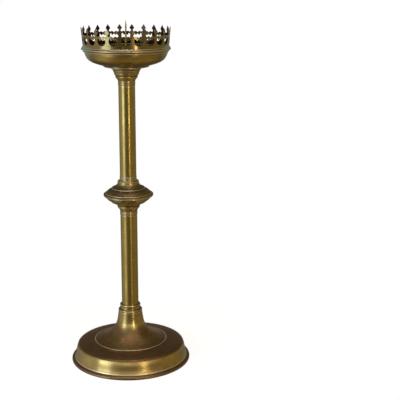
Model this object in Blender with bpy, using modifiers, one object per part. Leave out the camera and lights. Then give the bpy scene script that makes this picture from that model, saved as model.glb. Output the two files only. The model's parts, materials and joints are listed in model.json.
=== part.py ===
"""Altar candlestick: a pricket candlestick of brass, with a round foot, a knop and a crested pan.

The stem stands on the Z axis and the foot rests on Z = 0. Dimensions are in metres.
"""

import math

import bmesh
import bpy
from mathutils import Matrix

MM = 0.001

# Driving dimensions
FOOT_BEAD_RADIUS = 91.0 * MM  # centre line of the rolled edge
BEAD_SIZE = 2.8 * MM  # outside radius of the rolled edge
BEAD_STEP = 30  # degrees between the corners of the rolled edge
BEAD_HEIGHT = BEAD_SIZE * math.cos(math.radians(BEAD_STEP / 2))  # its lowest facet lies on Z = 0
FOOT_SHOULDER_RADIUS = 84.5 * MM
FOOT_SHOULDER_HEIGHT = 25.5 * MM
FOOT_TOP_HEIGHT = 32.0 * MM
TRUMPET_RADIUS = 57.0 * MM
TRUMPET_HEIGHT = 80.0 * MM
UPPER_TUBE_RADIUS = 12.7 * MM  # one inch tube
LOWER_TUBE_RADIUS = 13.1 * MM
TUBE_BORE = 11.5 * MM
FERRULE_PROUD = 0.4 * MM  # how far a ferrule's band stands out from its tube
SPIGOT_REACH = 7.0 * MM  # how far a ferrule or socket goes into a tube
LOWER_TUBE_BOTTOM = 84.3 * MM
UPPER_TUBE_TOP = 437.0 * MM
KNOP_HEIGHT = 268.6 * MM  # height of the joint between the two shells
KNOP_REACH = 22.4 * MM  # from that joint to the top of the upper shell
KNOP_TAIL = 24.8 * MM  # from that joint to the bottom of the lower shell
LOWER_FERRULE_BOTTOM = 237.4 * MM
UPPER_FERRULE_TOP = 298.0 * MM
NECK_HEIGHT = 444.6 * MM
PAN_FLOOR_HEIGHT = 466.5 * MM  # underside of the pan's floor
PAN_FLOOR_RADIUS = 33.0 * MM
COLLAR_SEAT_RADIUS = 12.8 * MM
COLLAR_SEAT_RISE = 0.5 * MM  # how far the pan's floor stands up under the pricket's collar
PAN_RADIUS = 62.8 * MM
PAN_TOP = 494.0 * MM
RIM_RADIUS = 66.9 * MM
STRIP_RADIUS = 64.15 * MM  # outside of the gallery where it leaves the rim
CREST_RADIUS = 66.0 * MM  # outside of the gallery near its tips
STRIP_BOTTOM = 490.1 * MM
STRIP_BEND = 495.0 * MM  # height where the gallery starts to lean outwards
BAND_TOP = 497.0 * MM  # top of the gallery's unpierced band
CREST_HEIGHT = 520.0 * MM  # height where the gallery reaches its crest radius
UNIT_HALF = 9.35  # half the width of one gallery unit, in millimetres along the strip
HOLE_HEIGHT = 506.3  # centre of the gallery's round holes, in millimetres
HOLE_SIZE = 6.75
GALLERY_POINTS = 22
TIP_HEIGHT = 533.7 * MM

SHEET = 1.2 * MM  # thickness of the spun sheet
STRIP_SHEET = 1.0 * MM
GAP = 0.3 * MM  # clearance between neighbouring pieces
ROD_RADIUS = 4.0 * MM
ROD_HOLE = 4.6 * MM
ROD_BOTTOM = 13.0 * MM
ROD_TOP = 444.5 * MM
SHANK_RADIUS = 4.76 * MM  # three eighths inch thread
SHANK_HOLE = 5.1 * MM
SHANK_BOTTOM = 448.0 * MM

LARGE_STEPS = 28
PAN_STEPS = 36
SMALL_STEPS = 20
TINY_STEPS = 16


def clear_scene():
    for obj in list(bpy.data.objects):
        bpy.data.objects.remove(obj, do_unlink=True)


def new_collection(name):
    collection = bpy.data.collections.new(name)
    bpy.context.scene.collection.children.link(collection)
    return collection


def new_material(name, color, roughness, metallic):
    material = bpy.data.materials.new(name)
    material.use_nodes = True
    shader = material.node_tree.nodes["Principled BSDF"]
    shader.inputs["Base Color"].default_value = (*color, 1.0)
    shader.inputs["Roughness"].default_value = roughness
    shader.inputs["Metallic"].default_value = metallic
    material.diffuse_color = (*color, 1.0)
    return material


def add_object(name, mesh, material):
    obj = bpy.data.objects.new(name, mesh)
    obj.data.materials.append(material)
    MODEL.objects.link(obj)
    return obj


def arc(radius, height, size, start, end, steps):
    """Points on a circle round (radius, height), from one angle to another, in degrees."""
    points = []
    for i in range(steps + 1):
        angle = math.radians(start + (end - start) * i / steps)
        points.append((radius + size * math.cos(angle), height + size * math.sin(angle)))
    return points


def bezier(start, near, far, end, steps):
    """Points on a cubic curve, both ends included."""
    points = []
    for i in range(steps + 1):
        t = i / steps
        weights = ((1 - t) ** 3, 3 * t * (1 - t) ** 2, 3 * t * t * (1 - t), t**3)
        radius = sum(w * p[0] for w, p in zip(weights, (start, near, far, end)))
        height = sum(w * p[1] for w, p in zip(weights, (start, near, far, end)))
        points.append((radius, height))
    return points


def millimetres(points):
    return [(radius * MM, height * MM) for radius, height in points]


def turned(name, outline, material, steps, closed=True):
    """A turned piece: an outline of (radius, height) points that runs down its outer side."""
    count = len(outline)
    edges = [(i, i + 1) for i in range(count - 1)]
    if closed:
        edges.append((count - 1, 0))
    mesh = bpy.data.meshes.new(name)
    mesh.from_pydata([(radius, 0.0, height) for radius, height in outline], edges, [])
    obj = add_object(name, mesh, material)
    screw = obj.modifiers.new("Turn", "SCREW")
    screw.axis = "Z"
    screw.angle = math.tau
    screw.steps = steps
    screw.render_steps = steps
    screw.use_merge_vertices = True
    screw.merge_threshold = 0.00001
    screw.use_smooth_shade = True
    return obj


def spun(name, outline, material, steps, thickness=SHEET):
    """A spun sheet piece: an open outline of its outer face, thickened inwards."""
    obj = turned(name, outline, material, steps, closed=False)
    solidify = obj.modifiers.new("Sheet", "SOLIDIFY")
    solidify.thickness = thickness
    solidify.offset = -1.0
    solidify.use_even_offset = True
    return obj


def cylinder_mesh(name, radius, bottom, top, segments):
    """A closed cylinder on the Z axis, with one corner on +X."""
    mesh = bpy.data.meshes.new(name)
    bm = bmesh.new()
    depth = top - bottom
    bmesh.ops.create_cone(bm, cap_ends=True, segments=segments, radius1=radius, radius2=radius, depth=depth)
    bmesh.ops.rotate(bm, verts=bm.verts, matrix=Matrix.Rotation(math.radians(90), 3, "Z"))
    bmesh.ops.translate(bm, verts=bm.verts, vec=(0.0, 0.0, (top + bottom) / 2))
    bm.to_mesh(mesh)
    bm.free()
    return mesh


def hex_nut(name, across_flats, hole, bottom, top, material):
    """A hexagon nut on the Z axis, bored by a cylinder that runs past both of its faces."""
    obj = add_object(name, cylinder_mesh(name, across_flats / math.sqrt(3), bottom, top, 6), material)
    tool = cylinder_mesh(name + "_bore", hole, bottom - MM, top + MM, TINY_STEPS)
    cutter = bpy.data.objects.new(name + "_bore", tool)
    cutter.hide_render = True
    cutter.display_type = "WIRE"
    CUTTERS.objects.link(cutter)
    bore = obj.modifiers.new("Bore", "BOOLEAN")
    bore.operation = "DIFFERENCE"
    bore.object = cutter
    return obj


def foot_dish():
    """Dish of the foot: flat top, sloping skirt and an edge rolled round a wire."""
    top = [(ROD_HOLE + MM, FOOT_TOP_HEIGHT), (TRUMPET_RADIUS, FOOT_TOP_HEIGHT)]
    shoulder = bezier(
        (79.0 * MM, 29.0 * MM),
        (82.2 * MM, 28.4 * MM),
        (83.9 * MM, 27.2 * MM),
        (FOOT_SHOULDER_RADIUS, FOOT_SHOULDER_HEIGHT - MM),
        4,
    )
    skirt = millimetres([(89.2, 7.2), (89.7, 6.1)])
    roll = arc(FOOT_BEAD_RADIUS, BEAD_HEIGHT, BEAD_SIZE, 105, -195, 300 // BEAD_STEP)
    return spun("foot_dish", top + shoulder + skirt + roll, BRASS_BROWN, LARGE_STEPS, 1.0 * MM)


def foot_rim_wire():
    """Wire inside the rolled edge."""
    outline = arc(FOOT_BEAD_RADIUS, BEAD_HEIGHT, 1.3 * MM, 90, -210, 5)
    return turned("foot_rim_wire", outline, IRON, LARGE_STEPS)


def foot_trumpet():
    """Trumpet of the foot: a thick flange edge and a curve that sweeps up to the collar."""
    curve = bezier(
        (18.5 * MM, TRUMPET_HEIGHT),
        (21.5 * MM, 60.0 * MM),
        (19.5 * MM, 47.0 * MM),
        (TRUMPET_RADIUS - MM, 33.9 * MM),
        9,
    )
    lip = [(13.4 * MM, TRUMPET_HEIGHT)]
    edge = [(TRUMPET_RADIUS, 33.5 * MM)]
    return spun("foot_trumpet", lip + curve + edge, BRASS_GOLD, LARGE_STEPS, 1.1 * MM)


def foot_collar():
    """Collar of two rings and a hollowed band, with a socket for the lower tube."""
    ring = [(16.0, 91.2), (16.3, 90.1), (15.9, 89.0)]
    band = [(15.7, 86.2), (16.1, 83.8)]
    shoulder = [(18.4, 83.1), (18.8, 81.8), (18.4, 80.4)]
    socket = [(4.6, 80.4), (4.6, 84.0), (13.4, 84.0), (13.4, 91.2)]
    outline = ring + band + shoulder + socket
    return turned("foot_collar", millimetres(outline), BRASS_GOLD, SMALL_STEPS)


def clamp_plate():
    outline = [(24.0, 30.6), (25.0, 29.6), (25.0, 27.0), (4.6, 27.0), (4.6, 30.6)]
    return turned("clamp_plate", millimetres(outline), IRON, SMALL_STEPS)


def clamp_washer():
    outline = [(11.0, 26.7), (11.0, 25.0), (4.4, 25.0), (4.4, 26.7)]
    return turned("clamp_washer", millimetres(outline), IRON, TINY_STEPS)


def tie_rod():
    outline = [
        (0.0, ROD_TOP),
        (ROD_RADIUS - 0.6 * MM, ROD_TOP),
        (ROD_RADIUS, ROD_TOP - 0.6 * MM),
        (ROD_RADIUS, ROD_BOTTOM + 0.6 * MM),
        (ROD_RADIUS - 0.6 * MM, ROD_BOTTOM),
        (0.0, ROD_BOTTOM),
    ]
    return turned("tie_rod", outline, IRON, TINY_STEPS, closed=False)


def stem_tube(name, radius, bottom, top):
    outline = [(radius, top), (radius, bottom), (TUBE_BORE, bottom), (TUBE_BORE, top)]
    return turned(name, outline, BRASS_OLIVE, SMALL_STEPS)


def ferrule(name, tube_radius, bottom, top, tube_side, bore):
    """A turned band between a tube and its neighbour; a spigot goes into the tube, up (1) or down (-1)."""
    spigot = TUBE_BORE - GAP
    proud = tube_radius + FERRULE_PROUD
    band = [(proud, top), (proud, bottom)]
    if tube_side > 0:
        end = top + SPIGOT_REACH
        outline = [(spigot, end), (spigot, top)] + band + [(bore, bottom), (bore, end)]
    else:
        end = bottom - SPIGOT_REACH
        outline = band + [(spigot, bottom), (spigot, end), (bore, end), (bore, top)]
    return turned(name, outline, BRASS_OLIVE, SMALL_STEPS)


def upper_knop_face():
    """Outside of the upper shell, as (radius, height over the joint), from its neck to its edge."""
    neck = [(15.9, KNOP_REACH / MM), (16.5, 21.2), (16.6, 19.1), (17.5, 16.6)]
    cove = [(18.9, 14.9), (22.0, 12.8)]
    upper_lip = [(25.0, 11.6), (25.8, 10.8), (25.4, 10.0)]
    tier = [(26.2, 9.4), (28.5, 8.8), (30.2, 7.9), (32.0, 6.5), (34.0, 4.6)]
    lower_lip = [(35.3, 3.7), (35.9, 2.9), (35.6, 2.1)]
    edge = [(37.9, 1.8), (38.4, 1.0), (38.2, 0.15)]
    return neck + cove + upper_lip + tier + lower_lip + edge


def lower_knop_face():
    """Outside of the lower shell, as (radius, depth under the joint), from its edge to its foot."""
    edge = [(38.2, 0.15), (38.3, 0.9), (37.4, 1.8)]
    tier = [(35.8, 2.6), (34.2, 4.4), (32.2, 6.6), (30.2, 8.1)]
    bead = [(28.9, 8.9), (27.2, 10.2), (26.3, 11.2), (25.0, 11.8)]
    cove = [(21.8, 13.4), (19.2, 14.8), (17.4, 16.0)]
    ring = [(17.2, 18.8), (16.4, 20.3), (15.2, 21.6)]
    return edge + tier + bead + cove + ring + [(13.9, 23.4), (12.9, KNOP_TAIL / MM)]


def knop_hollow():
    """Inside of either shell, as (radius, distance from the joint), from the edge to the rod's hole."""
    return [(33.0, 0.15), (30.2, 4.2), (26.2, 7.2), (20.5, 10.6), (15.0, 13.6), (13.8, 19.4), (4.6, 19.4)]


def knop_shells():
    joint = KNOP_HEIGHT / MM
    upper = upper_knop_face() + knop_hollow() + [(4.6, KNOP_REACH / MM)]
    upper = [(radius, joint + rise) for radius, rise in upper]
    turned("knop_upper_shell", millimetres(upper), BRASS_BROWN, LARGE_STEPS)
    lower = lower_knop_face() + [(4.6, KNOP_TAIL / MM)] + knop_hollow()[::-1]
    lower = [(radius, joint - depth) for radius, depth in lower]
    turned("knop_lower_shell", millimetres(lower), BRASS_BROWN, LARGE_STEPS)


def knop_spacer():
    half = 19.0 * MM
    outline = [
        (7.5 * MM, KNOP_HEIGHT + half),
        (7.5 * MM, KNOP_HEIGHT - half),
        (ROD_HOLE, KNOP_HEIGHT - half),
        (ROD_HOLE, KNOP_HEIGHT + half),
    ]
    return turned("knop_spacer", outline, IRON, TINY_STEPS)


def neck_cup():
    """Beaded cup at the head of the stem, bored for the socket that clamps the stem."""
    bowl = [(21.0, 460.4), (20.3, 458.8), (19.3, 457.0), (18.8, 455.2), (18.5, 453.8), (17.6, 452.6)]
    bead = [(16.6, 451.6), (16.9, 450.4), (16.7, 449.4), (16.0, 448.3)]
    foot = [(14.6, 446.6), (13.0, 444.6)]
    inner = [(8.9, 444.6), (8.9, 455.5), (14.0, 455.5), (14.0, 460.4)]
    return turned("neck_cup", millimetres(bowl + bead + foot + inner), BRASS_GOLD, SMALL_STEPS)


def stem_head_socket():
    """Threaded head of the stem: the rod enters from below and the pricket's shank from above."""
    outer = [(13.5, 460.2), (13.5, 455.8), (8.5, 455.8), (8.5, 434.0)]
    inner = [(4.3, 434.0), (4.3, 446.0), (5.1, 447.0), (5.1, 460.2)]
    return turned("stem_head_socket", millimetres(outer + inner), BRASS_GOLD, TINY_STEPS)


def pan_washer():
    outline = [(18.5, 461.5), (18.5, 460.75), (5.3, 460.75), (5.3, 461.5)]
    return turned("pan_washer", millimetres(outline), LEATHER, SMALL_STEPS)


def pan_foot_ring():
    edge = [(34.3, 466.2), (34.5, 465.6), (33.6, 465.0)]
    underside = [(30.4, 464.4), (25.0, 463.6), (23.0, 462.9), (22.6, 461.8)]
    hole = [(9.0, 461.8), (9.0, 466.2)]
    return turned("pan_foot_ring", millimetres(edge + underside + hole), BRASS_GOLD, LARGE_STEPS)


def pan():
    """Drip pan: a flat floor with a raised seat, and a bowl that turns up to a nearly straight wall."""
    seat_height = PAN_FLOOR_HEIGHT + COLLAR_SEAT_RISE
    seat = [(SHANK_HOLE, seat_height), (COLLAR_SEAT_RADIUS, seat_height)]
    floor = [(COLLAR_SEAT_RADIUS + 0.6 * MM, PAN_FLOOR_HEIGHT), (PAN_FLOOR_RADIUS, PAN_FLOOR_HEIGHT)]
    lower_bowl = millimetres([(36.6, 467.4), (42.6, 469.1), (48.0, 470.9), (51.6, 472.4), (55.0, 474.5)])
    upper_bowl = millimetres([(58.3, 477.7), (60.4, 481.4), (61.9, 485.0)])
    wall = [(PAN_RADIUS - 0.2 * MM, 488.0 * MM), (PAN_RADIUS, PAN_TOP)]
    outline = (seat + floor + lower_bowl + upper_bowl + wall)[::-1]
    return spun("pan", outline, BRASS_OLIVE, PAN_STEPS)


def pan_rim_ring():
    """Moulded ring round the edge of the pan: a small top bead, a rounded tip and a fillet under it."""
    bead = [(65.2, 495.1), (65.8, 494.5), (65.4, 493.7)]
    tip = [(66.5, 492.8), (RIM_RADIUS / MM, 491.9), (66.6, 490.9), (65.2, 489.9)]
    fillet = [(63.9, 489.2), (64.1, 488.5), (63.6, 487.7), (62.9, 487.3)]
    inner = [(63.2, 489.7), (64.6, 489.7), (64.6, 495.1)]
    return turned("pan_rim_ring", millimetres(bead + tip + fillet + inner), BRASS_GOLD, PAN_STEPS)


def crest_outline(half):
    """Upper edge of half a gallery unit, as (distance from its centre line, height), in millimetres.

    It runs from the foot of the round hole, round the hole, the hanging ball and the leaf, to the tip.
    """
    hole = arc(half, HOLE_HEIGHT, HOLE_SIZE, -90, -210, 5)
    ball = [(4.9, 508.7), (6.2, 507.7), (7.8, 508.1), (half, 509.3)]
    leaf = [(half, 511.8), (7.3, 513.1), (5.7, 513.6), (3.6, 512.9), (1.2, 513.0)]
    point = [(1.1, 514.8), (3.7, 518.1), (0.0, 523.8)]
    return hole + ball + leaf + point


def gallery():
    """Pierced strip bent to a ring: one half unit, mirrored and repeated, then thickened."""
    pitch = math.tau / GALLERY_POINTS
    across = (0.0, UNIT_HALF / 2, UNIT_HALF)
    lower, waist, upper = ([(s, z / MM) for s in across] for z in (STRIP_BOTTOM, STRIP_BEND, BAND_TOP))
    faces = []
    for first, second in ((lower, waist), (waist, upper)):
        faces.append((first[0], first[1], second[1], second[0]))
        faces.append((first[1], first[2], second[2], second[1]))
    faces.append(tuple(upper + crest_outline(UNIT_HALF)))
    bm = bmesh.new()
    for unit in range(GALLERY_POINTS):
        for side in (1, -1):
            for face in faces:
                corners = face if side > 0 else face[::-1]
                verts = []
                for s, z in corners:
                    angle = (unit + side * s / UNIT_HALF / 2) * pitch
                    lean = max(0.0, z * MM - STRIP_BEND) / (CREST_HEIGHT - STRIP_BEND)
                    radius = STRIP_RADIUS + (CREST_RADIUS - STRIP_RADIUS) * lean
                    verts.append(bm.verts.new((radius * math.cos(angle), radius * math.sin(angle), z * MM)))
                bm.faces.new(verts)
    bmesh.ops.remove_doubles(bm, verts=bm.verts, dist=0.00001)
    mesh = bpy.data.meshes.new("gallery")
    bm.to_mesh(mesh)
    bm.free()
    obj = add_object("gallery", mesh, BRASS_OLIVE)
    solidify = obj.modifiers.new("Sheet", "SOLIDIFY")
    solidify.thickness = STRIP_SHEET
    solidify.offset = -1.0
    return obj


def pricket_collar():
    cone = [(5.9, 475.0), (6.8, 473.7), (8.6, 472.1)]
    base = [(11.6, 471.0), (12.2, 470.0), (12.0, 468.5)]
    hole = [(5.1, 468.5), (5.1, 475.0)]
    return turned("pricket_collar", millimetres(cone + base + hole), BRASS_GOLD, SMALL_STEPS)


def pricket():
    """Spike for the candle, with a shoulder and a shank that goes down into the stem."""
    point = [(0.0, TIP_HEIGHT / MM), (0.75, 530.5), (1.1, 516.0), (1.35, 510.0)]
    spike = [(2.0, 495.0), (3.1, 482.0), (4.2, 477.6)]
    shoulder = [(6.2, 477.0), (6.2, 475.4), (SHANK_RADIUS / MM, 475.4)]
    shank = [(SHANK_RADIUS / MM, 448.7), (4.1, SHANK_BOTTOM / MM), (0.0, SHANK_BOTTOM / MM)]
    outline = point + spike + shoulder + shank
    return turned("pricket", millimetres(outline), BRASS_GOLD, TINY_STEPS, closed=False)


def build():
    foot_dish()
    foot_rim_wire()
    foot_trumpet()
    foot_collar()
    clamp_plate()
    clamp_washer()
    hex_nut("clamp_nut", 13.0 * MM, 4.3 * MM, 18.0 * MM, 24.7 * MM, IRON)
    tie_rod()
    stem_tube("lower_tube", LOWER_TUBE_RADIUS, LOWER_TUBE_BOTTOM, LOWER_FERRULE_BOTTOM - GAP)
    knop_foot = KNOP_HEIGHT - KNOP_TAIL - GAP
    ferrule("lower_tube_ferrule", LOWER_TUBE_RADIUS, LOWER_FERRULE_BOTTOM, knop_foot, -1, ROD_HOLE)
    knop_shells()
    knop_spacer()
    knop_head = KNOP_HEIGHT + KNOP_REACH + GAP
    ferrule("upper_tube_lower_ferrule", UPPER_TUBE_RADIUS, knop_head, UPPER_FERRULE_TOP, 1, ROD_HOLE)
    stem_tube("upper_tube", UPPER_TUBE_RADIUS, UPPER_FERRULE_TOP + GAP, UPPER_TUBE_TOP)
    neck_foot = NECK_HEIGHT - GAP
    ferrule("upper_tube_top_ferrule", UPPER_TUBE_RADIUS, UPPER_TUBE_TOP + GAP, neck_foot, -1, 8.9 * MM)
    neck_cup()
    stem_head_socket()
    pan_washer()
    pan_foot_ring()
    hex_nut("pan_lock_nut", 15.0 * MM, 5.1 * MM, 462.1 * MM, 466.1 * MM, BRASS_GOLD)
    pan()
    pan_rim_ring()
    gallery()
    pricket_collar()
    pricket()


clear_scene()
MODEL = new_collection("altar_candlestick")
CUTTERS = new_collection("cutters")
BRASS_OLIVE = new_material("aged_brass", (0.36, 0.25, 0.09), 0.28, 1.0)
BRASS_GOLD = new_material("polished_brass", (0.50, 0.34, 0.13), 0.24, 1.0)
BRASS_BROWN = new_material("browned_brass", (0.22, 0.13, 0.06), 0.34, 1.0)
IRON = new_material("black_iron", (0.06, 0.055, 0.05), 0.55, 0.8)
LEATHER = new_material("leather", (0.12, 0.06, 0.03), 0.8, 0.0)
build()
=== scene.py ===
import json
import math
import random

import bmesh
import bpy
import numpy as np
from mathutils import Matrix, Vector


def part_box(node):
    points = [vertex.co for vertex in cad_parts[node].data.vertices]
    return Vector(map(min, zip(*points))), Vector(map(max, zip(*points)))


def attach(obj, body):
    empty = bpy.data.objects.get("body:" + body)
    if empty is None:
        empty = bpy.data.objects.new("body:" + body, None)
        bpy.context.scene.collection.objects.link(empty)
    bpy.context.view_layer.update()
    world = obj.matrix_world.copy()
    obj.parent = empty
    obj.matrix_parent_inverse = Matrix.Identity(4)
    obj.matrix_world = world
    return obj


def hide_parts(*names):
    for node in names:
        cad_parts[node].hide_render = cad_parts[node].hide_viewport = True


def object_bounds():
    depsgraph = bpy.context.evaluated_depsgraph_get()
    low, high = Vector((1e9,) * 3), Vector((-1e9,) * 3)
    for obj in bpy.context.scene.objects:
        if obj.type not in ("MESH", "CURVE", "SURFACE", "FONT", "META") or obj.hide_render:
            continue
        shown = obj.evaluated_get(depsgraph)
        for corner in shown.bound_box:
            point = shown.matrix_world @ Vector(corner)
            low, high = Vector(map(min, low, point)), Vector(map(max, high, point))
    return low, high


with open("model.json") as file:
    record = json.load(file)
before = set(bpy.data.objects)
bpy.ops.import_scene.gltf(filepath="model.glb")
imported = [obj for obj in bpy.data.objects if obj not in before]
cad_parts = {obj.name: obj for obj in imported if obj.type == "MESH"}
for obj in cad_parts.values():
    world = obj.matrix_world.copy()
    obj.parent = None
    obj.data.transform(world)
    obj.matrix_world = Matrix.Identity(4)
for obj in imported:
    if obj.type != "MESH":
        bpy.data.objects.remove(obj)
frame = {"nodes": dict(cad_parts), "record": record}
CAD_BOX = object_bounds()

# The looks of a brass altar candlestick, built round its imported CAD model. Everything is in metres.
# Each turned piece is drawn again from its own CAD cross-section, with rounded edges and tool lines.

MM = 0.001
WELD = 2e-6  # distance under which two CAD vertices are one
CORNER = math.radians(38)  # an outline that turns more than this at a point has an edge there
SHARP = math.radians(50)  # a mesh that turns more than this is shaded as an edge
FINE_STEP = 0.55 * MM  # longest piece of a curved outline
EDGE_ROUND = 0.22 * MM  # how far an edge's rounding reaches
CLOSE = 0.004 * MM  # outline points nearer than this are one
WEAR_REACH = 0.5 * MM  # how far an edge's wear reaches
GRIME_AND_SHADE_REACH = 0.9 * MM  # how far the grime and painted shade in a hollow reach

SMALL_TURNS = 72  # steps round the axis
TUBE_TURNS = 144
LARGE_TURNS = 288
NUT_TURNS = 120

ROD_LEAD = 1.25 * MM  # the tie rod's thread
ROD_DEPTH = 0.62 * MM
SHANK_LEAD = 1.5875 * MM  # the pricket's thread, 16 to the inch
SHANK_DEPTH = 0.7 * MM

GALLERY_POINTS = 22
PITCH = math.tau / GALLERY_POINTS
STRIP_SHEET = 1.0 * MM
BEND_SEED = 22
SWAY = 0.35 * MM  # scale of the random bend of the crest's points, in or out
TILT = 0.012  # and its scale sideways, in radians about the axis

PAN_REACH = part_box("pan_rim_ring")[1].x
PAN_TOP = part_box("pan_rim_ring")[1].z

BODY_OF = {node: body for body, nodes in frame["record"]["behaviour"]["bodies"].items() for node in nodes}
SLOT_OF = {part["node"]: part["material_slot"] for part in frame["record"]["subparts"]}


# ---------------------------------------------------------------- outlines

def section(node):
    """Half cross-section of a turned CAD node: (radius, height) points in order, and whether they close."""
    mesh = bmesh.new()
    mesh.from_mesh(frame["nodes"][node].data)
    bmesh.ops.remove_doubles(mesh, verts=mesh.verts, dist=WELD)
    plane = {v for v in mesh.verts if abs(v.co.y) < WELD and v.co.x > -WELD}
    links = {v: [e.other_vert(v) for e in v.link_edges if e.other_vert(v) in plane] for v in plane}
    ends = sorted((v for v in plane if len(links[v]) == 1), key=lambda v: -v.co.z)
    start = ends[0] if ends else max(plane, key=lambda v: (round(v.co.z, 6), v.co.x))
    chain = [start]
    while True:
        ahead = [v for v in links[chain[-1]] if v not in chain]
        if not ahead:
            break
        chain.append(ahead[0])
    points = [(max(v.co.x, 0.0), v.co.z) for v in chain]
    mesh.free()
    if ends:
        if points[0][0] > WELD:
            points.insert(0, (0.0, points[0][1]))
        if points[-1][0] > WELD:
            points.append((0.0, points[-1][1]))
        return points, False
    area = sum(a[0] * b[1] - b[0] * a[1] for a, b in zip(points, points[1:] + points[:1]))
    return (points[::-1] if area > 0 else points), True


def turn_at(before, here, after):
    """Signed angle by which an outline turns at a point; it is positive on an outward edge."""
    first = Vector(here) - Vector(before)
    second = Vector(after) - Vector(here)
    if first.length < 1e-9 or second.length < 1e-9:
        return 0.0
    return math.atan2(-(first.x * second.y - first.y * second.x), first.dot(second))


def refined(points, closed, step=FINE_STEP, corner=CORNER, edge=EDGE_ROUND):
    """The same outline with its gentle bends drawn as smooth curves and its edges rounded."""
    count = len(points)
    at = [Vector(p) for p in points]
    tangents, sharp = [], []
    for i in range(count):
        if not closed and i in (0, count - 1):
            tangents.append(None)
            sharp.append(True)
            continue
        before, here, after = at[i - 1], at[i], at[(i + 1) % count]
        sharp.append(abs(turn_at(before, here, after)) > corner)
        first, second = here - before, after - here
        tangent = first.normalized() * second.length + second.normalized() * first.length
        tangents.append(tangent.normalized() if tangent.length > 0 else second.normalized())
    result = []
    for i in range(count if closed else count - 1):
        j = (i + 1) % count
        start, end = at[i], at[j]
        chord = end - start
        length = chord.length
        straight = chord.normalized()
        leave = straight if sharp[i] else tangents[i]
        arrive = straight if sharp[j] else tangents[j]
        head = min(edge, 0.4 * length) if sharp[i] and (closed or i > 0) else 0.0
        tail = min(edge, 0.4 * length) if sharp[j] and (closed or j < count - 1) else 0.0
        pieces = max(1, math.ceil(length / step))
        if sharp[i] and sharp[j]:
            pieces = max(1, math.ceil(length / (4 * step)))
        for k in range(pieces + 1):
            t = k / pieces
            if k == 0:
                t = head / length
            if k == pieces:
                t = 1 - tail / length
            square, cube = t * t, t * t * t
            result.append(
                start * (2 * cube - 3 * square + 1)
                + leave * length * (cube - 2 * square + t)
                + end * (3 * square - 2 * cube)
                + arrive * length * (cube - square)
            )
        if tail > 0:
            following = at[(j + 1) % count] - end
            reach = min(edge, 0.4 * following.length)
            last = end - straight * tail
            ahead = end + following.normalized() * reach
            for t in (0.25, 0.5, 0.75):
                result.append(last * (1 - t) ** 2 + end * (2 * t * (1 - t)) + ahead * t * t)
    cleaned = [result[0]]
    for point in result[1:]:
        if (point - cleaned[-1]).length > CLOSE:
            cleaned.append(point)
    if closed and (cleaned[0] - cleaned[-1]).length <= CLOSE:
        cleaned.pop()
    return [(max(p.x, 0.0), p.y) for p in cleaned]


def divided(points, closed, step):
    """An outline with no piece longer than step, which may be a function of the piece's two ends."""
    ends = points[1:] + points[:1] if closed else points[1:]
    result = []
    for a, b in zip(points, ends):
        pieces = max(1, math.ceil(math.dist(a, b) / (step(a, b) if callable(step) else step)))
        for k in range(pieces):
            t = k / pieces
            result.append((a[0] + (b[0] - a[0]) * t, a[1] + (b[1] - a[1]) * t))
    if not closed:
        result.append(points[-1])
    return result


def grooved(points, closed, grooves, inner):
    """An outline with fine lines (height, half width, depth) cut in its side, outside the radius inner."""
    bottom = min(height - 4 * width for height, width, _ in grooves)
    top = max(height + 4 * width for height, width, _ in grooves)

    def spacing(a, b):
        near = min(a[0], b[0]) > inner and max(a[1], b[1]) > bottom and min(a[1], b[1]) < top
        return 0.06 * MM if near else 1.0

    result = []
    for radius, height in divided(points, closed, spacing):
        if radius > inner:
            radius -= sum(d * math.exp(-(((height - z) / w) ** 2)) for z, w, d in grooves)
        result.append((radius, height))
    return result


def exposure(points, closed):
    """How worn (on edges) and how deep in a hollow (for grime and painted shade) each point of an outline is,
    both from 0 to 1.
    """
    count = len(points)
    turns = np.zeros(count)
    for i in range(0 if closed else 1, count if closed else count - 1):
        turns[i] = turn_at(points[i - 1], points[i], points[(i + 1) % count])
    place = np.array(points)
    apart = np.hypot(place[:, None, 0] - place[None, :, 0], place[:, None, 1] - place[None, :, 1])
    worn = (np.exp(-((apart / WEAR_REACH) ** 2)) * np.maximum(turns, 0)).sum(1)
    grime_and_shade = (np.exp(-((apart / GRIME_AND_SHADE_REACH) ** 2)) * np.maximum(-turns, 0)).sum(1)
    return np.clip((worn - 0.3) / 0.6, 0, 1), np.clip((grime_and_shade - 0.3) / 0.7, 0, 1)


# ---------------------------------------------------------------- meshes

def finish_piece(obj, node):
    """Lets a piece stand for its CAD node: the same body, the same material slot."""
    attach(obj, BODY_OF[node])
    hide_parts(node)
    obj.data.materials.append(MATERIALS[SLOT_OF[node]])
    return obj


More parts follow.
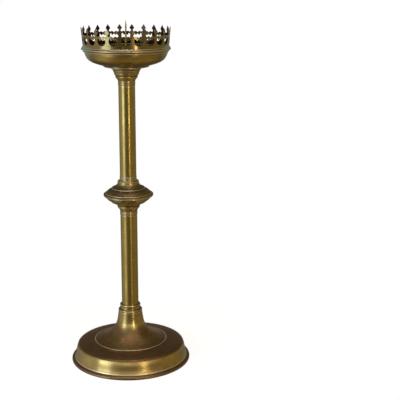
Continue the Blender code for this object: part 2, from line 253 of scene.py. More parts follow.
def revolved(name, points, closed, turns, relief=None, wear=1.0, grime=1.0):
    """A mesh turned about the Z axis, with its wear and its grime and painted shade kept as attributes.

    wear and grime are shares of the usual ones. wear may also be a function, which gives the wear from the
    usual wear, the radius and the height.
    """
    worn, grime_and_shade = exposure(points, closed)
    outline = np.array(points)
    worn = wear(worn, outline[:, 0], outline[:, 1]) if callable(wear) else worn * wear
    grime_and_shade = grime_and_shade * grime
    angles = np.arange(turns) * math.tau / turns
    radius = np.repeat(outline[None, :, 0], turns, 0)
    height = np.repeat(outline[None, :, 1], turns, 0)
    angle = np.repeat(angles[:, None], len(points), 1)
    if relief:
        radius = relief(radius, height, angle)
    verts = np.stack([radius * np.cos(angle), radius * np.sin(angle), height], -1).reshape(-1, 3)
    count = len(points)
    ring = np.arange(turns)
    along = np.arange(count if closed else count - 1)
    a = (ring[:, None] * count + along[None, :]).ravel()
    b = (ring[:, None] * count + (along[None, :] + 1) % count).ravel()
    c = (((ring[:, None] + 1) % turns) * count + (along[None, :] + 1) % count).ravel()
    d = (((ring[:, None] + 1) % turns) * count + along[None, :]).ravel()
    mesh = bpy.data.meshes.new(name)
    mesh.from_pydata(verts.tolist(), [], np.stack([a, b, c, d], 1).tolist())
    for label, values in (("worn", worn), ("grime_and_shade", grime_and_shade)):
        attribute = mesh.attributes.new(label, "FLOAT", "POINT")
        attribute.data.foreach_set("value", np.tile(values, turns).astype(np.float32))
    if not closed:
        bm = bmesh.new()
        bm.from_mesh(mesh)
        bmesh.ops.remove_doubles(bm, verts=bm.verts, dist=1e-7)
        bm.to_mesh(mesh)
        bm.free()
    mesh.shade_smooth()
    mesh.set_sharp_from_angle(angle=SHARP)
    obj = bpy.data.objects.new(name, mesh)
    bpy.context.scene.collection.objects.link(obj)
    return obj


def turned_piece(node, turns=TUBE_TURNS, grooves=(), inner=0.0, step=None, shape=None, **surface):
    """A turned CAD node drawn again at full quality; shape goes to refined, and surface to revolved."""
    points, closed = section(node)
    points = refined(points, closed, **(shape or {}))
    if grooves:
        points = grooved(points, closed, grooves, inner)
    if step:
        points = divided(points, closed, step)
    return finish_piece(revolved(node + "_turned", points, closed, turns, **surface), node)


def thread(bottom, top, lead, depth, inner):
    """Relief of a right-handed screw thread between two heights, on the side outside the radius inner."""

    def relief(radius, height, angle):
        phase = (height - angle / math.tau * lead) / lead
        ridge = 1 - 2 * np.abs(phase - np.floor(phase) - 0.5)
        fade = np.clip((height - bottom) / lead, 0, 1) * np.clip((top - height) / lead, 0, 1)
        return np.where(radius > inner, radius - depth * ridge * fade, radius)

    return relief


def nut_piece(node):
    """A hexagon nut with chamfered faces and a plain hole."""
    low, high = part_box(node)
    flat = high.y
    chamfer = 1.02 * flat
    hole = min(math.hypot(v.co.x, v.co.y) for v in frame["nodes"][node].data.vertices)
    slope = math.tan(math.radians(30))
    rim = 0.25 * MM
    rows = []
    for i in range(NUT_TURNS):
        angle = math.tau * i / NUT_TURNS
        side = flat / math.cos((angle % math.radians(60)) - math.radians(30))
        drop = max(0.0, side - chamfer) * slope + 0.12 * MM
        rows.append(
            [
                (hole + rim, high.z),
                (chamfer - 0.3 * MM, high.z),
                (chamfer, high.z - 0.06 * MM),
                (side, high.z - drop),
                (side, low.z + drop),
                (chamfer, low.z + 0.06 * MM),
                (chamfer - 0.3 * MM, low.z),
                (hole + rim, low.z),
                (hole, low.z + rim),
                (hole, high.z - rim),
            ]
        )
    count = len(rows[0])
    verts = []
    for i, row in enumerate(rows):
        angle = math.tau * i / NUT_TURNS
        verts += [(radius * math.cos(angle), radius * math.sin(angle), height) for radius, height in row]
    faces = []
    for i in range(NUT_TURNS):
        j = (i + 1) % NUT_TURNS
        for k in range(count):
            m = (k + 1) % count
            faces.append((i * count + k, i * count + m, j * count + m, j * count + k))
    mesh = bpy.data.meshes.new(node + "_cut")
    mesh.from_pydata(verts, [], faces)
    worn = [0.0, 0.4, 0.8, 0.9, 0.9, 0.8, 0.4, 0.0, 0.0, 0.0]
    attribute = mesh.attributes.new("worn", "FLOAT", "POINT")
    attribute.data.foreach_set("value", worn * NUT_TURNS)
    mesh.shade_smooth()
    mesh.set_sharp_from_angle(angle=math.radians(24))
    obj = bpy.data.objects.new(node + "_cut", mesh)
    bpy.context.scene.collection.objects.link(obj)
    return finish_piece(obj, node)


# ---------------------------------------------------------------- the crest

def arc(across, height, size, start, end, steps):
    """Points on a circle in the flat strip, from one angle to another, in degrees."""
    result = []
    for i in range(steps + 1):
        angle = math.radians(start + (end - start) * i / steps)
        result.append((across + size * math.cos(angle), height + size * math.sin(angle)))
    return result


def crest_outline(half, foot):
    """Edge of half a unit of the flat strip, in millimetres: hole, hanging ball, leaf and kite."""
    hole = arc(half, foot + 16.2, 6.75, -90, -206, 16)
    horn = [(3.3, foot + 19.6), (3.9, foot + 20.2), (4.6, foot + 19.9)]
    ball = arc(6.6, foot + 18.9, 1.45, 150, 395, 10)
    bridge = [(half - 0.4, foot + 19.1), (half, foot + 18.95)]
    leaf = [(half, foot + 21.6), (half - 0.5, foot + 21.9)]
    hump = arc(5.9, foot + 20.9, 2.55, 25, 150, 8)
    neck = [(3.0, foot + 22.6), (2.2, foot + 23.0), (1.4, foot + 23.7), (1.05, foot + 24.5)]
    kite = [(1.7, foot + 25.5), (2.8, foot + 26.9), (3.75, foot + 28.1)]
    tip = [(2.7, foot + 29.7), (1.3, foot + 31.7), (0.0, foot + 33.7)]
    return hole + horn + ball + bridge + leaf + hump + neck + kite + tip


def gallery_piece():
    """The pierced strip: half a unit, cut in columns, mirrored, repeated, bent to a ring and thickened."""
    node = "gallery"
    low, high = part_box(node)
    verts = [v.co for v in frame["nodes"][node].data.vertices]
    reach = max(math.hypot(v.x, v.y) for v in verts)
    foot_reach = max(math.hypot(v.x, v.y) for v in verts if v.z < low.z + MM)
    half = foot_reach * PITCH / 2
    foot = low.z / MM
    outline = [(0.0, foot), (half / MM, foot)] + crest_outline(half / MM, foot)
    flat = bmesh.new()
    flat.faces.new([flat.verts.new((s * MM, 0.0, z * MM)) for s, z in outline])
    columns, levels = 6, 9
    cuts = [(Vector((half * k / columns, 0, 0)), (1, 0, 0)) for k in range(1, columns)]
    cuts += [(Vector((0, 0, low.z + (high.z - low.z) * k / levels)), (0, 0, 1)) for k in range(1, levels)]
    for at, across in cuts:
        geometry = flat.verts[:] + flat.edges[:] + flat.faces[:]
        bmesh.ops.bisect_plane(flat, geom=geometry, plane_co=at, plane_no=across, dist=1e-7)
    random.seed(BEND_SEED)
    bm = bmesh.new()
    for unit in range(GALLERY_POINTS):
        sway = random.uniform(-SWAY, SWAY)
        tilt = random.uniform(-TILT, TILT)
        for side in (1, -1):
            copies = {}
            for vert in flat.verts:
                free = max(0.0, vert.co.z - PAN_TOP) / (high.z - PAN_TOP)
                lean = (reach - foot_reach) * min(1.0, free / 0.9)
                radius = foot_reach + lean + sway * max(0.0, free - 0.45) ** 2 * 3
                angle = (unit + side * vert.co.x / half / 2) * PITCH + tilt * max(0.0, free - 0.6)
                copies[vert] = bm.verts.new((radius * math.cos(angle), radius * math.sin(angle), vert.co.z))
            for face in flat.faces:
                corners = [copies[v] for v in face.verts]
                bm.faces.new(corners if side < 0 else corners[::-1])
    flat.free()
    bmesh.ops.remove_doubles(bm, verts=bm.verts, dist=1e-5)
    bmesh.ops.recalc_face_normals(bm, faces=bm.faces)
    mesh = bpy.data.meshes.new("gallery_pierced")
    bm.to_mesh(mesh)
    bm.free()
    obj = bpy.data.objects.new("gallery_pierced", mesh)
    bpy.context.scene.collection.objects.link(obj)
    solidify = obj.modifiers.new("Sheet", "SOLIDIFY")
    solidify.thickness = STRIP_SHEET
    solidify.offset = -1.0
    bevel = obj.modifiers.new("Rounded", "BEVEL")
    bevel.width = 0.14 * MM
    bevel.segments = 2
    bevel.limit_method = "ANGLE"
    bevel.angle_limit = SHARP
    bevel.use_clamp_overlap = True
    flat_faces = obj.modifiers.new("Flat", "WEIGHTED_NORMAL")
    flat_faces.weight = 60
    mesh.shade_smooth()
    return finish_piece(obj, node)


# ---------------------------------------------------------------- materials

WORN_BRASS = (0.96, 0.86, 0.62)
OLIVE_TINT = (0.34, 0.30, 0.10)
# also the colour of the painted reflection tint at the pan's left and right
VERDIGRIS_AND_PAINTED_TINT = (0.28, 0.46, 0.34)
# painted shade: near-black for faces turned toward the axis
SHADE_BLACK = (0.024, 0.016, 0.009)
RUST = (0.16, 0.055, 0.02)


class Tree:
    """A short way to write a material's nodes."""

    def __init__(self, name):
        self.material = bpy.data.materials.new(name)
        self.material.use_nodes = True
        self.nodes = self.material.node_tree.nodes
        self.links = self.material.node_tree.links
        self.shader = self.nodes["Principled BSDF"]

    def add(self, kind, inputs=None, **settings):
        node = self.nodes.new(kind)
        for key, value in settings.items():
            setattr(node, key, value)
        for key, value in (inputs or {}).items():
            self.put(node.inputs[key], value)
        return node

    def put(self, socket, value):
        if isinstance(value, bpy.types.NodeSocket):
            self.links.new(value, socket)
        else:
            socket.default_value = value

    def math(self, operation, first, second=0.0, clamp=False):
        node = self.add("ShaderNodeMath", {0: first, 1: second}, operation=operation, use_clamp=clamp)
        return node.outputs[0]

    def plus(self, first, second, clamp=False):
        return self.math("ADD", first, second, clamp)

    def minus(self, first, second, clamp=False):
        return self.math("SUBTRACT", first, second, clamp)

    def times(self, first, second):
        return self.math("MULTIPLY", first, second)

    def larger(self, first, second):
        return self.math("MAXIMUM", first, second)

    def remap(self, value, low, high, to_low=0.0, to_high=1.0):
        inputs = {"Value": value, "From Min": low, "From Max": high, "To Min": to_low, "To Max": to_high}
        return self.add("ShaderNodeMapRange", inputs).outputs["Result"]

    def mix(self, factor, first, second, blend="MIX"):
        node = self.add("ShaderNodeMix", data_type="RGBA", blend_type=blend)
        self.put(node.inputs[0], factor)
        self.put(node.inputs[6], first if isinstance(first, bpy.types.NodeSocket) else (*first, 1.0))
        self.put(node.inputs[7], second if isinstance(second, bpy.types.NodeSocket) else (*second, 1.0))
        return node.outputs[2]

    def noise(self, vector, scale, detail=3.0, roughness=0.55):
        inputs = {"Vector": vector, "Scale": scale, "Detail": detail, "Roughness": roughness}
        return self.add("ShaderNodeTexNoise", inputs).outputs[0]

    def vector(self, x, y, z):
        return self.add("ShaderNodeCombineXYZ", {0: x, 1: y, 2: z}).outputs[0]

    def attribute(self, name):
        return self.add("ShaderNodeAttribute", attribute_name=name).outputs["Fac"]


def tool_marks(tree, lines, round_x, round_y, radius, z):
    """Noise drawn out along the tool's path: its fine marks, and the wider bands between them."""
    if lines == "turned":
        along = tree.plus(radius, z)
        marks_at = tree.vector(tree.times(round_x, 0.9), tree.times(round_y, 0.9), tree.times(along, 1500.0))
        bands_at = tree.vector(tree.times(round_x, 0.5), tree.times(round_y, 0.5), tree.times(along, 160.0))
    else:
        marks_at = tree.vector(tree.times(round_x, 70.0), tree.times(round_y, 70.0), tree.times(z, 14.0))
        bands_at = tree.vector(tree.times(round_x, 2.2), tree.times(round_y, 2.2), tree.times(z, 16.0))
    return tree.noise(marks_at, 1.0, 4.0, 0.65), tree.noise(bands_at, 1.0, 3.0, 0.6)


def verdigris_and_painted_tint(tree, place, x, z, grime_and_shade, green):
    """How green each place is: verdigris in patches and in hollows, and a painted reflection tint at the
    pan's left and right up to its rim.
    """
    patch = tree.times(tree.remap(tree.noise(place, 48.0, 4.0, 0.65), 0.54, 0.66), green)
    fresh = tree.remap(tree.noise(place, 300.0, 4.0, 0.7), 0.42, 0.62)
    patch = tree.larger(tree.times(patch, fresh), tree.times(tree.times(grime_and_shade, fresh), green * 0.5))
    # painted reflection: a green tint at the left and right sides, fixed in the object, up to the rim
    sides = tree.remap(tree.math("ABSOLUTE", x), 0.72 * PAN_REACH, 0.90 * PAN_REACH)
    low = tree.remap(z, PAN_TOP + 4 * MM, PAN_TOP + 1 * MM)
    return tree.larger(patch, tree.times(tree.times(sides, low), 0.7))


def aged_brass(
    name, gold, brown, dull=0.0, gloss=0.26, lines="turned", top_brown=0.0, green=0.0,
    edge=None, inside_shade=0.0, wavy=1.0, clean=0.0,
):
    """Aged brass: gold under a cloudy brown tarnish, bright on edges, dark in hollows from tarnish and a
    painted shade, with tool marks.

    dull adds tarnish everywhere, top_brown adds it to what faces up, and clean takes it from what faces down.
    edge is a radius past which all is brown. inside_shade paints shade on what faces the axis, and green is
    how much verdigris there is; where there is green, the pan's left and right also get a painted green
    reflection tint. gloss is the roughness under the tarnish, and wavy is a share of the usual dents.
    lines is turned for tool marks round the axis, or drawn for marks along it.
    """
    tree = Tree(name)
    place = tree.add("ShaderNodeTexCoord").outputs["Object"]
    facing = tree.add("ShaderNodeTexCoord").outputs["Normal"]
    x, y, z = tree.add("ShaderNodeSeparateXYZ", {0: place}).outputs
    facing_x, facing_y, facing_z = tree.add("ShaderNodeSeparateXYZ", {0: facing}).outputs
    radius = tree.math("SQRT", tree.plus(tree.times(x, x), tree.times(y, y)))
    safe = tree.larger(radius, 0.5 * MM)
    round_x = tree.math("DIVIDE", x, safe)
    round_y = tree.math("DIVIDE", y, safe)
    worn = tree.attribute("worn")
    grime_and_shade = tree.attribute("grime_and_shade")
    up = tree.remap(facing_z, 0.28, 0.52)

    clouds = tree.noise(place, 34.0, 5.0, 0.6)
    blotch = tree.noise(place, 95.0, 4.0, 0.62)
    grain = tree.noise(place, 1500.0, 2.0, 0.5)
    marks, bands = tool_marks(tree, lines, round_x, round_y, radius, z)

    tarnish = tree.plus(tree.remap(clouds, 0.36, 0.64, -0.18, 0.34), tree.remap(blotch, 0.35, 0.7, -0.1, 0.2))
    tarnish = tree.plus(tarnish, tree.remap(bands, 0.3, 0.7, -0.14, 0.16))
    tarnish = tree.plus(tarnish, tree.times(grime_and_shade, 0.85))
    tarnish = tree.minus(tarnish, tree.times(worn, 0.75))
    tarnish = tree.plus(tarnish, 0.32 + dull, clamp=True)
    if top_brown:
        tarnish = tree.plus(tarnish, tree.times(up, top_brown), clamp=True)
    if clean:
        down = tree.remap(facing_z, -0.05, -0.45)
        tarnish = tree.minus(tarnish, tree.times(down, clean), clamp=True)
    if edge:
        outer = tree.remap(radius, edge - 0.4 * MM, edge + 0.2 * MM)
        tarnish = tree.plus(tarnish, tree.times(outer, 0.9), clamp=True)
        line = tree.times(tree.remap(radius, edge - 1.3 * MM, edge - 0.9 * MM), 0.55)
        line = tree.times(line, tree.remap(radius, edge - 0.5 * MM, edge - 0.3 * MM, 1.0, 0.0))
        worn = tree.larger(worn, line)

    color = tree.mix(tarnish, gold, brown)
    # painted shade: the hollows are darkened further toward a deep brown, beyond their tarnish
    color = tree.mix(tree.times(grime_and_shade, 0.65), color, tuple(c * 0.3 for c in brown))
    hue = tree.remap(tree.noise(place, 60.0, 3.0), 0.35, 0.65)
    color = tree.mix(tree.times(hue, 0.22), color, OLIVE_TINT)
    pits = tree.remap(tree.noise(place, 420.0, 3.0, 0.7), 0.66, 0.74)
    color = tree.mix(tree.times(pits, 0.6), color, tuple(c * 0.35 for c in brown))
    color = tree.mix(tree.times(worn, 0.9), color, WORN_BRASS)
    metallic = 1.0
    if green:
        patch = verdigris_and_painted_tint(tree, place, x, z, grime_and_shade, green)
        color = tree.mix(patch, color, VERDIGRIS_AND_PAINTED_TINT)
        metallic = tree.minus(1.0, tree.times(patch, 0.75))
    # painted shade: faces turned toward the axis, inside the pan and the crest, are darkened nearly to black
    if inside_shade:
        outward = tree.plus(tree.times(facing_x, round_x), tree.times(facing_y, round_y))
        inward_shade = tree.times(tree.remap(outward, 0.55, 0.05), tree.remap(clouds, 0.32, 0.62, 1.0, 0.88))
        color = tree.mix(tree.times(inward_shade, inside_shade), color, SHADE_BLACK)

    rough = tree.plus(gloss, tree.times(tarnish, 0.16))
    if top_brown:
        rough = tree.plus(rough, tree.times(up, 0.16))
    rough = tree.plus(rough, tree.remap(marks, 0.3, 0.7, -0.05, 0.07))
    rough = tree.plus(rough, tree.times(pits, 0.2), clamp=True)

    marks_depth, grain_depth, pits_depth = (0.35, 0.10, 0.35) if lines == "turned" else (0.03, 0.03, 0.12)
    heights = tree.plus(tree.times(marks, marks_depth), tree.times(grain, grain_depth))
    heights = tree.minus(heights, tree.times(pits, pits_depth))
    dents = tree.noise(place, 24.0, 2.0, 0.4)
    soft = tree.add("ShaderNodeBump", {"Strength": 0.35, "Distance": 0.9 * MM * wavy, "Height": dents})
    fine = tree.add("ShaderNodeBump", {"Strength": 0.22, "Distance": 0.06 * MM, "Height": heights})
    tree.put(fine.inputs["Normal"], soft.outputs[0])

    tree.put(tree.shader.inputs["Base Color"], color)
    tree.put(tree.shader.inputs["Metallic"], metallic)
    tree.put(tree.shader.inputs["Roughness"], rough)
    tree.put(tree.shader.inputs["Normal"], fine.outputs[0])
    return tree.material


def dark_iron(name, color, roughness):
    """Old iron or mild steel: dark scale, a little rust and a fine pitted face."""
    tree = Tree(name)
    place = tree.add("ShaderNodeTexCoord").outputs["Object"]
    scale = tree.noise(place, 160.0, 5.0, 0.65)
    rust = tree.remap(tree.noise(place, 90.0, 5.0, 0.7), 0.52, 0.68)
    base = tree.mix(tree.remap(scale, 0.35, 0.65), color, tuple(c * 0.5 for c in color))
    base = tree.mix(tree.times(rust, 0.7), base, RUST)
    base = tree.mix(tree.times(tree.attribute("worn"), 0.5), base, tuple(min(1.0, c * 2.2) for c in color))
    bump = tree.add("ShaderNodeBump", {"Strength": 0.4, "Distance": 0.15 * MM, "Height": scale})
    tree.put(tree.shader.inputs["Base Color"], base)
    tree.put(tree.shader.inputs["Metallic"], tree.minus(0.95, tree.times(rust, 0.8)))
    tree.put(tree.shader.inputs["Roughness"], tree.remap(scale, 0.3, 0.7, roughness - 0.08, roughness + 0.12))
    tree.put(tree.shader.inputs["Normal"], bump.outputs[0])
    return tree.material


def dry_leather(name):
    """Old dark leather, creased, with a rubbed grain."""
    tree = Tree(name)
    place = tree.add("ShaderNodeTexCoord").outputs["Object"]
    cells = tree.add("ShaderNodeTexVoronoi", {"Vector": place, "Scale": 900.0}, feature="DISTANCE_TO_EDGE")
    cloud = tree.noise(place, 130.0, 4.0, 0.6)
    base = tree.mix(tree.remap(cloud, 0.35, 0.65), (0.10, 0.050, 0.025), (0.045, 0.024, 0.014))
    crease = tree.remap(cells.outputs[0], 0.0, 0.12)
    base = tree.mix(crease, (0.02, 0.012, 0.008), base)
    bump = tree.add("ShaderNodeBump", {"Strength": 0.6, "Distance": 0.2 * MM, "Height": crease})
    tree.put(tree.shader.inputs["Base Color"], base)
    tree.put(tree.shader.inputs["Roughness"], tree.remap(cloud, 0.3, 0.7, 0.62, 0.85))
    tree.put(tree.shader.inputs["Normal"], bump.outputs[0])
    return tree.material


def make_materials():
    gold = (0.56, 0.42, 0.165)
    olive = (0.50, 0.385, 0.125)
    deep_olive = (0.46, 0.325, 0.085)
    dark_gold = (0.35, 0.285, 0.12)
    brown = (0.240, 0.130, 0.060)
    knop_brown = (0.190, 0.115, 0.056)
    tube_brown = (0.34, 0.235, 0.070)
    bead = min(math.hypot(v.co.x, v.co.y) for v in frame["nodes"]["foot_rim_wire"].data.vertices)
    return {
        "foot_dish": aged_brass(
            "foot_dish_brass", gold, brown, dull=-0.24, gloss=0.17, top_brown=0.9, edge=bead
        ),
        "foot_trumpet": aged_brass(
            "foot_trumpet_brass", gold, brown, dull=-0.10, gloss=0.17, top_brown=0.6, wavy=0.15
        ),
        "stem_tube": aged_brass("stem_tube_brass", olive, tube_brown, gloss=0.16, lines="drawn", wavy=0.2),
        "knop": aged_brass("knop_brass", gold, knop_brown, dull=0.12, gloss=0.22, top_brown=0.35, clean=0.55),
        "turned_brass": aged_brass(
            "turned_brass", olive, brown, dull=-0.2, gloss=0.20, top_brown=0.3, wavy=0.5
        ),
        "pan": aged_brass("pan_brass", deep_olive, brown, gloss=0.22, green=0.2, inside_shade=0.6),
        "rim_ring": aged_brass(
            "rim_ring_brass", gold, brown, dull=0.1, gloss=0.24, top_brown=0.4, green=0.25
        ),
        "gallery": aged_brass(
            "gallery_brass", dark_gold, brown, gloss=0.11, green=0.5, inside_shade=0.97, wavy=0.5
        ),
        "iron": dark_iron("black_iron", (0.09, 0.085, 0.08), 0.5),
        "rod": dark_iron("rod_steel", (0.30, 0.29, 0.28), 0.34),
        "washer_leather": dry_leather("washer_leather"),
    }


# ---------------------------------------------------------------- the candlestick

def tie_rod_piece():
    """The tie rod, with the thread that the clamp nut runs on at its lower end."""
    node = "tie_rod"
    thread_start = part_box(node)[0].z + 0.6 * MM
    nut_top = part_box("clamp_nut")[1].z
    thread_end = nut_top + 4 * MM
    fine_end = nut_top + 6 * MM
    fine, coarse = 0.14 * MM, 8 * MM
    points, closed = section(node)
    points = refined(points, closed)
    dense = []
    for a, b in zip(points, points[1:]):
        near = min(a[1], b[1]) < fine_end and max(a[0], b[0]) > 3.5 * MM
        if near and max(a[1], b[1]) > fine_end:
            dense += [a, *divided([(a[0], fine_end), b], False, fine)[:-1]]
        else:
            dense += divided([a, b], False, fine if near else coarse)[:-1]
    dense.append(points[-1])
    relief = thread(thread_start, thread_end, ROD_LEAD, ROD_DEPTH, 3.0 * MM)
    finish_piece(revolved("tie_rod_threaded", dense, closed, SMALL_TURNS, relief), node)


def pricket_piece():
    """The spike, with the thread on its shank."""
    thread_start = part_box("pricket")[0].z + 0.6 * MM
    thread_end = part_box("pricket_collar")[1].z - 8 * MM
    relief = thread(thread_start, thread_end, SHANK_LEAD, SHANK_DEPTH, 3.6 * MM)
    turned_piece("pricket", SMALL_TURNS, step=0.2 * MM, relief=relief)


def ferrule_piece(node, shares, width, depth, wear):
    """A ferrule with fine lines at the given shares of the height of its band."""
    points, _ = section(node)
    widest = max(p[0] for p in points)
    band = [p[1] for p in points if p[0] > widest - WELD]
    low, high = min(band), max(band)
    grooves = [(low + (high - low) * share, width, depth) for share in shares]
    turned_piece(node, grooves=grooves, inner=widest - 0.3 * MM, wear=wear, grime=0.3)


def build_foot():
    flange_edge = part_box("foot_trumpet")[1].x - 1.3 * MM

    def flange_wear(worn, radius, height):
        return np.where(radius > flange_edge, 1.0, worn)

    turned_piece("foot_dish", LARGE_TURNS, step=2.5 * MM)
    turned_piece("foot_rim_wire", LARGE_TURNS, shape={"corner": math.radians(80)})
    turned_piece("foot_trumpet", LARGE_TURNS, step=2.5 * MM, wear=flange_wear)
    turned_piece("foot_collar", wear=0.5)
    turned_piece("clamp_plate")
    turned_piece("clamp_washer")
    nut_piece("clamp_nut")
    tie_rod_piece()


def build_stem():
    seam_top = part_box("knop_upper_shell")[0].z + 1.9 * MM

    def upper_knop_wear(worn, radius, height):
        return np.where(height > seam_top, worn, 0.1 * worn)

    turned_piece("lower_tube", step=6 * MM, wear=0.3)
    ferrule_piece("lower_tube_ferrule", (0.12, 0.4, 0.66, 0.9), 0.22 * MM, 0.28 * MM, wear=0.3)
    turned_piece("knop_lower_shell", LARGE_TURNS, wear=0.4)
    turned_piece("knop_upper_shell", LARGE_TURNS, wear=upper_knop_wear)
    turned_piece("knop_spacer")
    ferrule_piece("upper_tube_lower_ferrule", (0.12, 0.46, 0.8), 0.24 * MM, 0.30 * MM, wear=0.5)
    turned_piece("upper_tube", step=6 * MM, wear=0.3)
    ferrule_piece("upper_tube_top_ferrule", (0.1, 0.5, 0.86), 0.24 * MM, 0.30 * MM, wear=0.3)
    turned_piece("neck_cup", wear=0.45)
    turned_piece("stem_head_socket")


def build_head():
    turned_piece("pan_washer")
    turned_piece("pan_foot_ring")
    nut_piece("pan_lock_nut")
    turned_piece("pan", LARGE_TURNS, step=3 * MM)
    turned_piece("pan_rim_ring", LARGE_TURNS, wear=0.7)
    gallery_piece()
    turned_piece("pricket_collar")
    pricket_piece()


# ---------------------------------------------------------------- stage

NONE = (0.0, 0.0, 0.0)
FULL = (1.0, 1.0, 1.0)

# The room that the brass reflects, as (direction cosine, colour) stops along X, Y and Z
ROOM_ACROSS = [
    (-1.0, (0.56, 0.54, 0.50)),
    (-0.62, (0.34, 0.32, 0.25)),
    (-0.30, (0.15, 0.13, 0.075)),
    (0.25, (0.16, 0.13, 0.068)),
    (1.0, (0.34, 0.275, 0.14)),
]
ROOM_BEHIND = [(0.3, NONE), (1.0, (0.30, 0.29, 0.29))]
ROOM_LEVEL = [(-0.5, NONE), (-0.15, FULL), (0.15, FULL), (0.45, (0.1, 0.1, 0.1))]
ROOM_FRONT = [(-0.95, (0.84, 0.79, 0.71)), (-0.4, NONE)]
ROOM_UPPER = [(0.05, NONE), (0.15, FULL), (0.35, (0.9, 0.9, 0.9)), (0.7, NONE)]
ROOM_HEIGHT = [
    (-1.0, (2.2, 1.9, 1.9)),
    (-0.8, (1.6, 1.6, 1.7)),
    (-0.4, FULL),
    (0.3, FULL),
    (0.8, (0.55, 0.52, 0.48)),
]
ROOM_DOWN_BEHIND = [(0.2, FULL), (0.7, (0.45, 0.45, 0.45))]

FLOOR_REACH = 0.6
FLOOR_FADE = (0.13, 0.42)  # where the floor begins to fade and where it is gone
FLOOR_GREY = 0.42
FLOOR_GLOW = 0.84

LIGHT_DISTANCE = 1.6
WINDOW_AZIMUTH = -54
DAYLIGHT = (0.68, 0.85, 1.0)
LOW_DAYLIGHT = (1.0, 0.96, 0.88)
LAMPLIGHT = (1.0, 0.84, 0.60)

CAMERA_PLACE = (-0.0005, -1.4458, 0.6125)
CAMERA_LENS = 86.4  # millimetres, on a frame 36 wide
LOOK_DOWN = math.radians(13.75)
LOOK_RIGHT = math.radians(4.4)
CAMERA_ROLL = math.radians(0.1)


def look_at(obj, target):
    obj.rotation_euler = (Vector(target) - obj.location).to_track_quat("-Z", "Y").to_euler()


def softbox(name, azimuth, distance, height, size, power, color, target=None):
    """An area light, level with what it lights unless it has a target.

    azimuth is from the camera's side of the object, positive to the right.
    """
    data = bpy.data.lights.new(name, "AREA")
    data.shape = "RECTANGLE"
    data.size, data.size_y = size
    data.energy = power
    data.color = color
    obj = bpy.data.objects.new(name, data)
    angle = math.radians(azimuth)
    obj.location = (distance * math.sin(angle), -distance * math.cos(angle), height)
    look_at(obj, (0, 0, height) if target is None else target)
    obj.visible_camera = False
    bpy.context.scene.collection.objects.link(obj)


def build_floor():
    """A round pale floor with a soft shadow, which fades into the backdrop."""
    bpy.ops.mesh.primitive_circle_add(vertices=96, radius=FLOOR_REACH, fill_type="NGON", location=(0, 0, 0))
    floor = bpy.context.object
    floor.name = "floor"
    floor.visible_glossy = False
    floor.visible_shadow = False
    tree = Tree("pale_floor")
    place = tree.add("ShaderNodeTexCoord").outputs["Object"]
    reach = tree.add("ShaderNodeVectorMath", {0: place}, operation="LENGTH").outputs["Value"]
    fade = tree.remap(reach, *FLOOR_FADE)
    tree.put(tree.shader.inputs["Base Color"], (FLOOR_GREY, FLOOR_GREY, FLOOR_GREY, 1.0))
    tree.put(tree.shader.inputs["Roughness"], 1.0)
    tree.put(tree.shader.inputs["Specular IOR Level"], 0.0)
    tree.put(tree.shader.inputs["Emission Color"], (1.0, 1.0, 1.0, 1.0))
    tree.put(tree.shader.inputs["Emission Strength"], FLOOR_GLOW)
    clear = tree.add("ShaderNodeBsdfTransparent")
    mixed = tree.add("ShaderNodeMixShader", {0: fade, 1: tree.shader.outputs[0], 2: clear.outputs[0]})
    tree.links.new(mixed.outputs[0], tree.nodes["Material Output"].inputs["Surface"])
    floor.data.materials.append(tree.material)


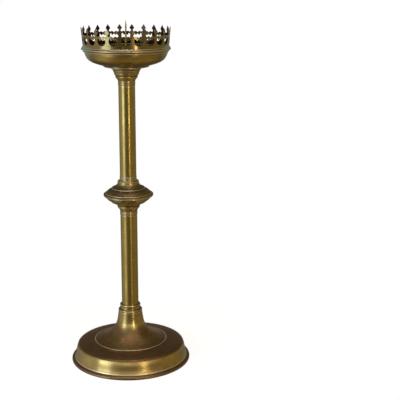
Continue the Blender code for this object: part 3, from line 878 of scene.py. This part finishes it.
def build_world():
    """A white backdrop for the camera, and for every other ray a dim warm room with paler parts."""
    world = bpy.data.worlds.new("studio")
    world.use_nodes = True
    bpy.context.scene.world = world
    nodes, links = world.node_tree.nodes, world.node_tree.links
    nodes.clear()
    output = nodes.new("ShaderNodeOutputWorld")
    place = nodes.new("ShaderNodeTexCoord")
    split = nodes.new("ShaderNodeSeparateXYZ")
    links.new(place.outputs["Generated"], split.inputs[0])

    def ramp(source, stops):
        shift = nodes.new("ShaderNodeMapRange")
        shift.inputs["From Min"].default_value = -1.0
        links.new(source, shift.inputs["Value"])
        node = nodes.new("ShaderNodeValToRGB")
        links.new(shift.outputs[0], node.inputs[0])
        while len(node.color_ramp.elements) < len(stops):
            node.color_ramp.elements.new(0.5)
        for element, (position, color) in zip(node.color_ramp.elements, stops):
            element.position = (position + 1) / 2
            element.color = (*color, 1.0)
        return node.outputs[0]

    def blend(kind, first, second):
        node = nodes.new("ShaderNodeMix")
        node.data_type = "RGBA"
        node.blend_type = kind
        node.inputs[0].default_value = 1.0
        links.new(first, node.inputs[6])
        links.new(second, node.inputs[7])
        return node.outputs[2]

    x, y, z = split.outputs
    behind = blend("MULTIPLY", ramp(y, ROOM_BEHIND), ramp(z, ROOM_LEVEL))
    front = blend("MULTIPLY", ramp(y, ROOM_FRONT), ramp(z, ROOM_UPPER))
    sides = blend("MULTIPLY", ramp(x, ROOM_ACROSS), ramp(y, ROOM_DOWN_BEHIND))
    room = blend("MULTIPLY", blend("ADD", sides, behind), ramp(z, ROOM_HEIGHT))
    room = blend("ADD", room, front)
    dim = nodes.new("ShaderNodeBackground")
    links.new(room, dim.inputs[0])
    white = nodes.new("ShaderNodeBackground")
    white.inputs[0].default_value = (1.0, 1.0, 1.0, 1.0)
    rays = nodes.new("ShaderNodeLightPath")
    mixed = nodes.new("ShaderNodeMixShader")
    links.new(rays.outputs["Is Camera Ray"], mixed.inputs[0])
    links.new(dim.outputs[0], mixed.inputs[1])
    links.new(white.outputs[0], mixed.inputs[2])
    links.new(mixed.outputs[0], output.inputs[0])


def build_lights():
    middle = (CAD_BOX[0] + CAD_BOX[1]) / 2
    softbox("window_left", WINDOW_AZIMUTH, LIGHT_DISTANCE, 0.70, (0.74, 1.36), 7.6, DAYLIGHT)
    softbox("window_left_low", WINDOW_AZIMUTH, LIGHT_DISTANCE, -0.42, (0.74, 0.86), 1.3, LOW_DAYLIGHT)
    softbox("lamp_right", 25, LIGHT_DISTANCE, 0.70, (0.15, 1.34), 4.0, LAMPLIGHT)
    softbox("lamp_right_low", 27, LIGHT_DISTANCE, -0.40, (0.15, 0.80), 0.45, LAMPLIGHT)
    softbox("overhead", 0, 0.25, 1.7, (0.8, 0.8), 7, (1.0, 0.98, 0.95), middle)


def build_camera():
    """The camera looks down a little, and past the right of the candlestick."""
    data = bpy.data.cameras.new("camera")
    data.sensor_width = 36.0
    data.lens = CAMERA_LENS
    camera = bpy.data.objects.new("camera", data)
    camera.location = CAMERA_PLACE
    camera.rotation_euler = (math.pi / 2 - LOOK_DOWN, 0.0, -LOOK_RIGHT)
    camera.rotation_euler.rotate_axis("Z", CAMERA_ROLL)
    bpy.context.scene.collection.objects.link(camera)
    bpy.context.scene.camera = camera


MATERIALS = make_materials()
build_camera()
build_foot()
build_stem()
build_head()
build_floor()
build_world()
build_lights()
bpy.context.scene.view_settings.view_transform = "Standard"
